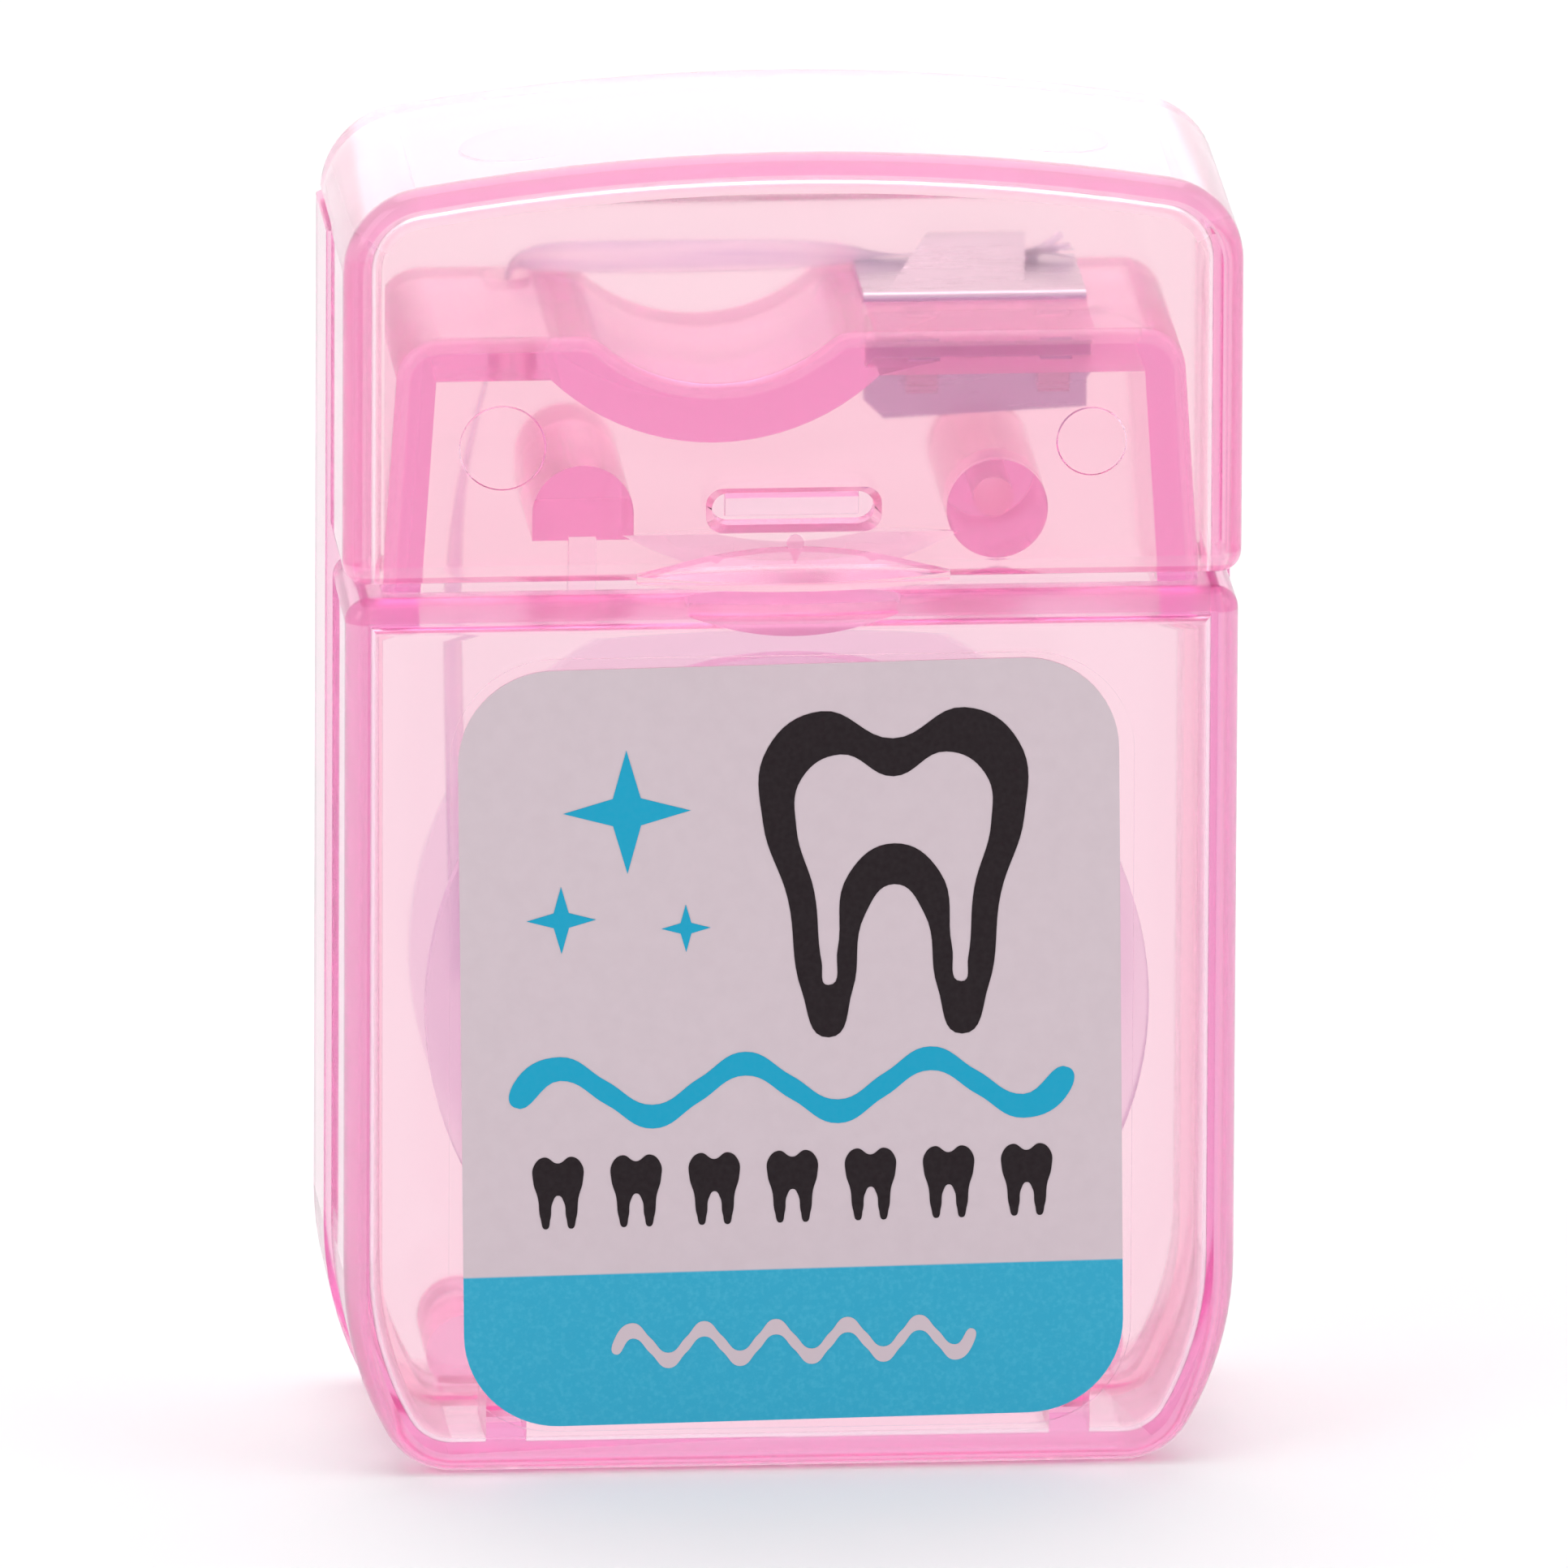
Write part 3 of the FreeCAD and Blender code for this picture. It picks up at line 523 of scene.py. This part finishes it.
# %% [markdown]
# ## The steel cutter
# The clip is thin rolled strip. Rolling leaves fine straight lines along the strip, so the steel
# reflects in long streaks. A noise stretched along X changes the roughness and the height a
# little, which gives the same streaks. The leg below the deck is painted darker and bluish:
# painted shade, for the leg lies in the slot under the deck. So the colour changes with height,
# just below the bend.

# %% Rolled steel
# Heights where the painted shade on the leg ends and the lit steel starts.
painted_shade_ends, bright_starts = 40.28 * mm, 40.44 * mm
leg_left, leg_width = 2.8, 7.7


def rolled_steel():
    material, tree, shader = new_material("rolled steel strip")
    grain = noise(tree, 4000, (0.05, 1, 1))
    bright = mixed(tree, grain, (0.68, 0.69, 0.72), (0.76, 0.76, 0.79))
    dark = mixed(tree, grain, (0.51, 0.45, 0.63), (0.57, 0.50, 0.69))
    place = add(tree, "ShaderNodeTexCoord")
    parts = add(tree, "ShaderNodeSeparateXYZ")
    tree.links.new(place.outputs["Object"], parts.inputs["Vector"])
    # Painted shade: below the bend the leg gets the darker, bluish steel colour.
    above = remap(tree, parts.outputs["Z"], 0, 1, painted_shade_ends, bright_starts)
    tree.links.new(mixed(tree, above, dark, bright), shader.inputs["Base Color"])
    shader.inputs["Metallic"].default_value = 1.0
    tree.links.new(remap(tree, grain, 0.26, 0.32), shader.inputs["Roughness"])
    bump(tree, shader, grain, 0.03, 0.01 * mm)
    return material


def slant_leg(work):
    """Cuts the leg's lower edge a little shorter, and slanting, as it is in the photo."""
    for v in work.verts:
        if v.co.z < 37 * mm:
            v.co.z += (0.18 + 0.36 * (v.co.x / mm - leg_left) / leg_width) * mm


dress("cutter_clip", "case", rolled_steel(), angle=20, touch=slant_leg)

# %% [markdown]
# ## The bobbin
# The bobbin is natural, untinted plastic: milky, slightly lilac inside the pink case, and dull.
# Its thin flanges let light through but blur it, as tracing paper does: transmission with a high
# roughness.

# %% Bobbin
def milky_plastic():
    material, tree, shader = new_material("milky bobbin plastic")
    cloud = noise(tree, 250, detail=2)
    tree.links.new(mixed(tree, cloud, (0.90, 0.82, 0.91), (0.94, 0.88, 0.94)),
                   shader.inputs["Base Color"])
    shader.inputs["Roughness"].default_value = 0.4
    shader.inputs["Transmission Weight"].default_value = 0.94
    shader.inputs["IOR"].default_value = 1.2
    bump(tree, shader, noise(tree, 1500), 0.2, 0.02 * mm)
    return material


dress("bobbin", "bobbin_body", milky_plastic())

# %% [markdown]
# ## The free end of the floss
# Floss is a flat ribbon of some hundred fibres, stuck together by wax: off-white, with a dull
# sheen and fine lines that run along it. The lines follow the ribbon through its own map, where
# one direction goes along the ribbon and the other across it.

# %% Floss material
def strand_floss_material():
    material, tree, shader = new_material("waxed floss strand")
    place = add(tree, "ShaderNodeTexCoord")
    spread = add(tree, "ShaderNodeMapping", Scale=(1.5, 7, 1))
    fibre = add(tree, "ShaderNodeTexNoise", Scale=4, Detail=4)
    tree.links.new(place.outputs["UV"], spread.inputs["Vector"])
    tree.links.new(spread.outputs["Vector"], fibre.inputs["Vector"])
    tree.links.new(mixed(tree, remap(tree, fibre.outputs["Fac"], 0, 1), (0.82, 0.77, 0.91),
                         (1.0, 0.99, 1.0)),
                   shader.inputs["Base Color"])
    shader.inputs["Roughness"].default_value = 0.25
    shader.inputs["Transmission Weight"].default_value = 0.5
    shader.inputs["IOR"].default_value = 1.15
    shader.inputs["Sheen Weight"].default_value = 0.3
    shader.inputs["Sheen Roughness"].default_value = 0.4
    bump(tree, shader, fibre.outputs["Fac"], 0.6, 0.04 * mm)
    return material


strand_floss = strand_floss_material()

# %% [markdown]
# ## Ribbons from curves
# A curve draws the floss's route. Its `extrude` makes the line into a ribbon, a small bevel gives
# it thickness, and the tilt of each point twists it. The curve is made a mesh at once, with both
# ends closed, so that what is seen is also what is exported.

# %% Ribbon helpers
def mesh_of_curve(name, data):
    shape = bpy.data.objects.new(name + "_line", data)
    scene.collection.objects.link(shape)
    seen = bpy.context.evaluated_depsgraph_get()
    mesh = bpy.data.meshes.new_from_object(shape.evaluated_get(seen))
    bpy.data.objects.remove(shape)
    mesh.name = name
    return mesh


def ribbon(name, route, width, thickness):
    data = bpy.data.curves.new(name, "CURVE")
    data.dimensions = "3D"
    line = data.splines.new("NURBS")
    line.points.add(len(route) - 1)
    for knot, (x, y, z, tilt, share) in zip(line.points, route):
        knot.co = (x * mm, y * mm, z * mm, 1)
        knot.tilt = math.radians(tilt)
        knot.radius = share
    line.order_u = 3
    line.use_endpoint_u = True
    data.resolution_u = 10
    data.twist_mode = "Z_UP"
    data.extrude = width / 2
    data.bevel_depth = thickness / 2
    data.bevel_resolution = 1
    data.use_fill_caps = True
    mesh = mesh_of_curve(name, data)
    mesh.shade_smooth()
    piece = new_piece(name, mesh, strand_floss)
    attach(piece, "case")
    print(name, "faces:", len(mesh.polygons))
    return piece


# %% [markdown]
# ## The route of the free end
# From the bobbin the ribbon climbs behind the window, passes through the exit hole in the deck,
# lies across the finger dip and is held by the cutter's tooth, where its cut end frays into five
# short strips. It is twisted where it crosses the dip, as the real one is.

# %% Free end of the floss
strand_width, strand_thickness = 1.0 * mm, 0.07 * mm
fray_width, fray_thickness = 0.3 * mm, 0.04 * mm
strand_points = [  # place in mm, tilt in degrees, share of the full width
    (-11.045, 0.6, 16.1, 90, 0.6), (-11.18, 0.995, 23.48, 90, 0.6), (-11.2, 2.6, 29.2, 90, 0.6),
    (-10.9, 4.0, 32.5, 90, 0.35), (-10.2, 4.5, 35.5, 90, 0.25), (-9.5, 4.55, 38.0, 90, 0.6),
    (-9.2, 4.55, 39.4, 90, 0.7), (-9.1, 4.55, 40.6, 60, 0.8), (-8.0, 4.5, 40.80, 5, 1.0),
    (-6.0, 4.5, 40.78, -12, 1.05), (-3.0, 4.5, 40.76, -16, 1.05), (0.0, 4.5, 40.76, -8, 1.0),
    (2.2, 4.5, 40.76, 20, 0.9), (3.9, 4.55, 40.68, 80, 0.8), (8.0, 4.55, 40.66, 85, 0.8),
    (9.2, 4.5, 40.72, 50, 0.8)]
frayed_ends = [(10.3, 4.3, 41.0, 30), (10.45, 4.7, 40.74, 80), (10.05, 4.95, 41.25, -20),
               (10.4, 4.0, 40.62, 60), (9.9, 4.4, 40.86, 10)]

strand = ribbon("floss_strand_ribbon", strand_points, strand_width, strand_thickness)
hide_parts("floss_strand")
for i, (x, y, z, tilt) in enumerate(frayed_ends):
    fray_route = [(8.7, 4.5, 40.70, 60, 1), (9.4, 4.5, 40.76, tilt, 1), (x, y, z, tilt, 0.7)]
    ribbon(f"floss_strand_fray_{i + 1}", fray_route, fray_width, fray_thickness)

# %% [markdown]
# ## The wound floss
# Inside, ribbon lies on ribbon in close turns. A ridged profile spun once round the bobbin's axis
# gives the inner layers. The outermost layer is made apart: a small flat section is spun many
# times while it moves sideways, which is how a screw thread is made.

# %% Wound floss
bobbin_axis = Vector((0, 0.6, 16.1)) * mm


def wound_floss_material():
    material, tree, shader = new_material("wound floss")
    thread = noise(tree, 900, (1, 4, 1))
    tree.links.new(mixed(tree, thread, (0.80, 0.72, 0.86), (0.90, 0.84, 0.93)),
                   shader.inputs["Base Color"])
    shader.inputs["Roughness"].default_value = 0.5
    shader.inputs["Sheen Weight"].default_value = 0.3
    bump(tree, shader, thread, 0.5, 0.05 * mm)
    return material


wound_floss = wound_floss_material()


def finish_floss(work, name, node):
    bmesh.ops.recalc_face_normals(work, faces=work.faces)
    mesh = bpy.data.meshes.new(name)
    work.to_mesh(mesh)
    work.free()
    mesh.shade_smooth()
    mesh.set_sharp_from_angle(angle=math.radians(40))
    piece = new_piece(name, mesh, wound_floss)
    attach(piece, "bobbin_body")
    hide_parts(node)
    print(name, "faces:", len(mesh.polygons))


winding_low, winding_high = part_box("floss_winding")
ridges, ridge_depth = 24, 0.6 * mm
ridge_profile = ((0.06, 0.82), (0.3, 1.0), (0.7, 1.0), (0.94, 0.82))  # share of a step, height
inner, outer = 3.75 * mm, 9.98 * mm
left, right = winding_low.y, winding_high.y
step = (right - left) / ridges
work = bmesh.new()
corners = [work.verts.new((inner, left, 0))]
for i in range(ridges):
    for share, height in ridge_profile:
        corners.append(work.verts.new((outer - (1 - height) * ridge_depth,
                                       left + (i + share) * step, 0)))
corners.append(work.verts.new((inner, right, 0)))
for a, b in zip(corners, corners[1:] + corners[:1]):
    work.edges.new((a, b))
bmesh.ops.translate(work, vec=(bobbin_axis.x, 0, bobbin_axis.z), verts=work.verts)
bmesh.ops.spin(work, geom=work.edges[:], cent=bobbin_axis, axis=(0, 1, 0),
               angle=math.tau, steps=96, use_merge=True)
finish_floss(work, "floss_winding_ridged", "floss_winding")

# %% Outer layer of the floss
turns_low, turns_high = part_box("floss_outer_turns")
turn_count, steps_per_turn = 6.5, 72
ribbon_width, ribbon_thickness = 0.78 * mm, 0.16 * mm
ribbon_outline = ((-1, -0.4), (-0.8, 0.6), (0, 1), (0.8, 0.6), (1, -0.4), (0, -1))
turn_radius = 10.245 * mm
end_room = 0.4 * mm
start_y = turns_low.y + end_room
travel = turns_high.y - turns_low.y - 2 * end_room
work = bmesh.new()
section = [work.verts.new(bobbin_axis + Vector((turn_radius + height * ribbon_thickness / 2,
                                                start_y - bobbin_axis.y + side * ribbon_width / 2,
                                                0)))
           for side, height in ribbon_outline]
face = work.faces.new(section)
steps = int(turn_count * steps_per_turn)
bmesh.ops.spin(work, geom=[face], cent=bobbin_axis, axis=(0, 1, 0),
               dvec=(0, travel / steps, 0), angle=math.tau * turn_count, steps=steps)
finish_floss(work, "floss_outer_ribbon", "floss_outer_turns")

# %% [markdown]
# ## The label
# The label is a satin film, lilac grey, with a turquoise band at its foot. Its colours are part of
# one print, so one material makes them: a sharp step in height changes grey to turquoise, and a
# fine grain of printing dots lies over both. The places on the label follow its slight turn. Its
# back, seen through the case, is paler.

# %% Label film
label_low, label_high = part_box("front_label")
label_turn = math.radians(0.75)
label_centre = Vector((0, 0, 15.3)) * mm
band_top, band_edge = -8.06 * mm, -8.12 * mm


def label_material():
    material, tree, shader = new_material("printed label film")
    place = add(tree, "ShaderNodeTexCoord")
    turned = add(tree, "ShaderNodeMapping", vector_type="TEXTURE",
                 Location=label_centre, Rotation=(0, -label_turn, 0))
    parts = add(tree, "ShaderNodeSeparateXYZ")
    tree.links.new(place.outputs["Object"], turned.inputs["Vector"])
    tree.links.new(turned.outputs["Vector"], parts.inputs["Vector"])
    dots = noise(tree, 6000, detail=2)
    grain = noise(tree, 1800)
    grey = mixed(tree, remap(tree, grain, 0, 1, 0.3, 0.7),
                 (0.668, 0.557, 0.607), (0.688, 0.577, 0.627))
    blue = mixed(tree, remap(tree, dots, 0, 1, 0.45, 0.75),
                 (0.010, 0.395, 0.61), (0.032, 0.445, 0.65))
    band = remap(tree, parts.outputs["Z"], 1, 0, band_edge, band_top)
    front_colour = mixed(tree, band, grey, blue)
    sides = add(tree, "ShaderNodeSeparateXYZ")
    tree.links.new(place.outputs["Normal"], sides.inputs["Vector"])
    towards_back = remap(tree, sides.outputs["Y"], 0, 1, 0.4, 0.6)
    tree.links.new(mixed(tree, towards_back, front_colour, (0.95, 0.90, 0.93)),
                   shader.inputs["Base Color"])
    tree.links.new(remap(tree, grain, 0.38, 0.5), shader.inputs["Roughness"])
    bump(tree, shader, dots, 0.12, 0.01 * mm)
    return material


def lift_back(work):
    """Leaves a hair of air behind the film, so that no face of it lies in a face of the case."""
    for v in work.verts:
        if v.co.y > label_high.y - 0.01 * mm:
            v.co.y -= 0.02 * mm


dress("front_label", "case", label_material(), touch=lift_back)

# %% [markdown]
# ## What is printed on the label
# The print has no words: a big tooth drawn with a bold dark line, a length of floss that winds past
# it, a row of small teeth, three sparkles, and a pale wave on the band. Each shape is a flat curve
# of a few points whose handles Blender rounds by itself. A curve inside another one becomes a hole.
# The filled curve is made a mesh, and only then stood up against the label, as thin as ink.

# %% Ink shapes
ink_lift, ink_thickness = 0.012 * mm, 0.006 * mm
tooth_side = [(0, 0.40), (0.27, 0.50), (0.47, 0.38), (0.49, 0.12), (0.40, -0.14), (0.35, -0.46),
              (0.25, -0.62), (0.16, -0.46), (0.11, -0.20), (0, -0.10)]
hollow_side = [(0, 0.27), (0.20, 0.35), (0.345, 0.27), (0.365, 0.10), (0.30, -0.12), (0.275, -0.36),
               (0.25, -0.44), (0.215, -0.32), (0.17, -0.06), (0, 0.04)]
sparkle = [(0, 0.5), (0.11, 0.11), (0.5, 0), (0.11, -0.11), (0, -0.5), (-0.11, -0.11), (-0.5, 0),
           (-0.11, 0.11)]


def both_sides(loop):
    return loop + [(-x, z) for x, z in loop[-2:0:-1]]


tooth_shape, tooth_hollow = both_sides(tooth_side), both_sides(hollow_side)


def ink(name, colour):
    material, tree, shader = new_material(name)
    pale = [c + (1 - c) * 0.015 for c in colour]
    tree.links.new(mixed(tree, noise(tree, 5000, detail=2), colour, pale),
                   shader.inputs["Base Color"])
    shader.inputs["Roughness"].default_value = 0.42
    shader.inputs["Specular IOR Level"].default_value = 0.12
    return material


def printed(name, loops, material, round_corners=True):
    data = bpy.data.curves.new(name, "CURVE")
    data.dimensions = "2D"
    data.fill_mode = "BOTH"
    data.extrude = ink_thickness / 2
    data.resolution_u = 8
    for loop in loops:
        line = data.splines.new("BEZIER")
        line.bezier_points.add(len(loop) - 1)
        for knot, (x, z) in zip(line.bezier_points, loop):
            knot.co = (x * mm, z * mm, 0)
            knot.handle_left_type = knot.handle_right_type = "AUTO" if round_corners else "VECTOR"
        line.use_cyclic_u = True
    mesh = mesh_of_curve(name, data)
    front_y = label_low.y - ink_lift
    mesh.transform(Matrix.Translation((label_centre.x, front_y, label_centre.z))
                   @ Matrix.Rotation(-label_turn, 4, "Y")
                   @ Matrix.Rotation(math.radians(90), 4, "X"))
    piece = new_piece(name, mesh, material)
    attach(piece, "case")
    print(name, "faces:", len(mesh.polygons))


def placed(loop, x, z, width, height=None):
    return [(x + u * width, z + v * (height or width)) for u, v in loop]


def wave(x0, x1, z, swing, turns, thickness):
    steps = 4 * turns
    line = [(x0 + (x1 - x0) * i / steps, z + swing * math.sin(math.pi / 2 * i))
            for i in range(steps + 1)]
    return ([(x, y + thickness / 2) for x, y in line]
            + [(x, y - thickness / 2) for x, y in reversed(line)])


# %% Print the label, with places and sizes in mm from its centre
dark_ink = ink("dark ink", (0.014, 0.007, 0.010))
blue_ink = ink("turquoise ink", (0.008, 0.39, 0.61))
pale_ink = ink("pale ink", (0.67, 0.56, 0.61))
printed("label_big_tooth", [placed(loop, 3.6, 6.6, 9.2, 10.4)
                            for loop in (tooth_shape, tooth_hollow)], dark_ink)
printed("label_floss_line", [wave(-9.6, 9.6, -1.6, 0.9, 3, 0.85)], blue_ink)
printed("label_tooth_row", [placed(tooth_shape, -8.1 + 2.7 * i, -5.0, 1.75, 2.3)
                            for i in range(7)], dark_ink)
printed("label_sparkles", [placed(sparkle, -5.6, 8.4, 4.4), placed(sparkle, -7.9, 4.6, 2.4),
                           placed(sparkle, -3.6, 4.2, 1.7)], blue_ink, round_corners=False)
printed("label_band_wave", [wave(-6.2, 6.2, -10.7, 0.55, 5, 0.55)], pale_ink)

# %% [markdown]
# ## Floor and world
# The floor is plain and pale, as on a photographer's table. Seen straight, it takes the shadow.
# Seen through the clear plastic or in a reflection it glows plain white, as the sweep of white
# paper behind the object did, and so does the world around it.

# %% Floor
white_paper = (1, 0.99, 0.995, 1)
floor_size, floor_height = 2.5, -0.03 * mm
work = bmesh.new()
bmesh.ops.create_grid(work, x_segments=1, y_segments=1, size=floor_size)
bmesh.ops.translate(work, vec=(0, 0, floor_height), verts=work.verts)
floor_mesh = bpy.data.meshes.new("floor")
work.to_mesh(floor_mesh)
work.free()
floor_paper, tree, shader = new_material("pale floor")
tree.links.new(mixed(tree, noise(tree, 40, detail=4), (0.86, 0.86, 0.87), (0.90, 0.90, 0.90)),
               shader.inputs["Base Color"])
shader.inputs["Roughness"].default_value = 0.8
rays = add(tree, "ShaderNodeLightPath").outputs
glow = add(tree, "ShaderNodeEmission", Color=white_paper, Strength=1.0)
swap = add(tree, "ShaderNodeMixShader")
tree.links.new(larger(tree, rays["Is Transmission Ray"], rays["Is Glossy Ray"]),
               swap.inputs["Fac"])
tree.links.new(shader.outputs["BSDF"], swap.inputs[1])
tree.links.new(glow.outputs["Emission"], swap.inputs[2])
tree.links.new(swap.outputs["Shader"], tree.nodes["Material Output"].inputs["Surface"])
floor = new_piece("floor", floor_mesh, floor_paper)
floor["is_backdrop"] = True

# %% World
world_light, world_seen = 0.55, 1.0
world = bpy.data.worlds.new("studio")
scene.world = world
world.use_nodes = True
tree = world.node_tree
sky = tree.nodes["Background"]
sky.inputs["Color"].default_value = white_paper
rays = add(tree, "ShaderNodeLightPath").outputs
seen = larger(tree, larger(tree, rays["Is Camera Ray"], rays["Is Glossy Ray"]),
              rays["Is Transmission Ray"])
tree.links.new(remap(tree, seen, world_light, world_seen, 0, 1), sky.inputs["Strength"])
print("world lights with", world_light, "and is seen as", world_seen)

# %% [markdown]
# ## Lamps
# Four broad lamps give soft light: one above, one at each side and one low behind the object, which
# brightens its rims. The camera sees none of them. The lamp at the back isn't seen through the
# plastic either, because there it would look like a hard white window.

# %% Lamps
lamp_target = Vector((0, 0, 0.02))


def lamp(name, place, size, power):
    data = bpy.data.lights.new(name, "AREA")
    data.shape = "RECTANGLE"
    data.size, data.size_y = size
    data.energy = power
    light = bpy.data.objects.new(name, data)
    light.location = place
    light.rotation_mode = "QUATERNION"
    light.rotation_quaternion = (lamp_target - Vector(place)).to_track_quat("-Z", "Y")
    light.visible_camera = False
    scene.collection.objects.link(light)
    print(name, "watts:", power)
    return light


lamp("top lamp", (0.0, 0.15, 0.6), (0.6, 0.5), 2.2)
lamp("left lamp", (-0.55, -0.35, 0.4), (0.4, 0.5), 1.2)
lamp("right lamp", (0.55, -0.25, 0.35), (0.4, 0.5), 0.8)
back_lamp = lamp("back lamp", (0.0, 0.9, 0.27), (0.9, 0.3), 0.85)
back_lamp.visible_transmission = False

# %% [markdown]
# ## Colours as written
# The Standard view transform shows a colour as it was written. The clear walls stand behind each
# other, so light needs more turns through them than usual before it may be dropped. Cycles also
# blurs gloss that is seen after a soft bounce; in clear plastic that swallows the light of the
# pieces inside, so it is switched off.

# %% Colour management and light paths
scene.view_settings.view_transform = "Standard"
light_turns = 48
scene.cycles.max_bounces = light_turns
scene.cycles.transmission_bounces = light_turns
scene.cycles.glossy_bounces = light_turns
scene.cycles.transparent_max_bounces = 16
scene.cycles.blur_glossy = 0.0

# %% [markdown]
# ## The last measure
# The box of the dressed model is written next to the box of the solids, so the two can be compared.

# %% Measure and finish
final_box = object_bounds()
for name, box in (("solids", cad_box), ("dressed", final_box)):
    print(name, [[round(v / mm, 3) for v in c] for c in box])
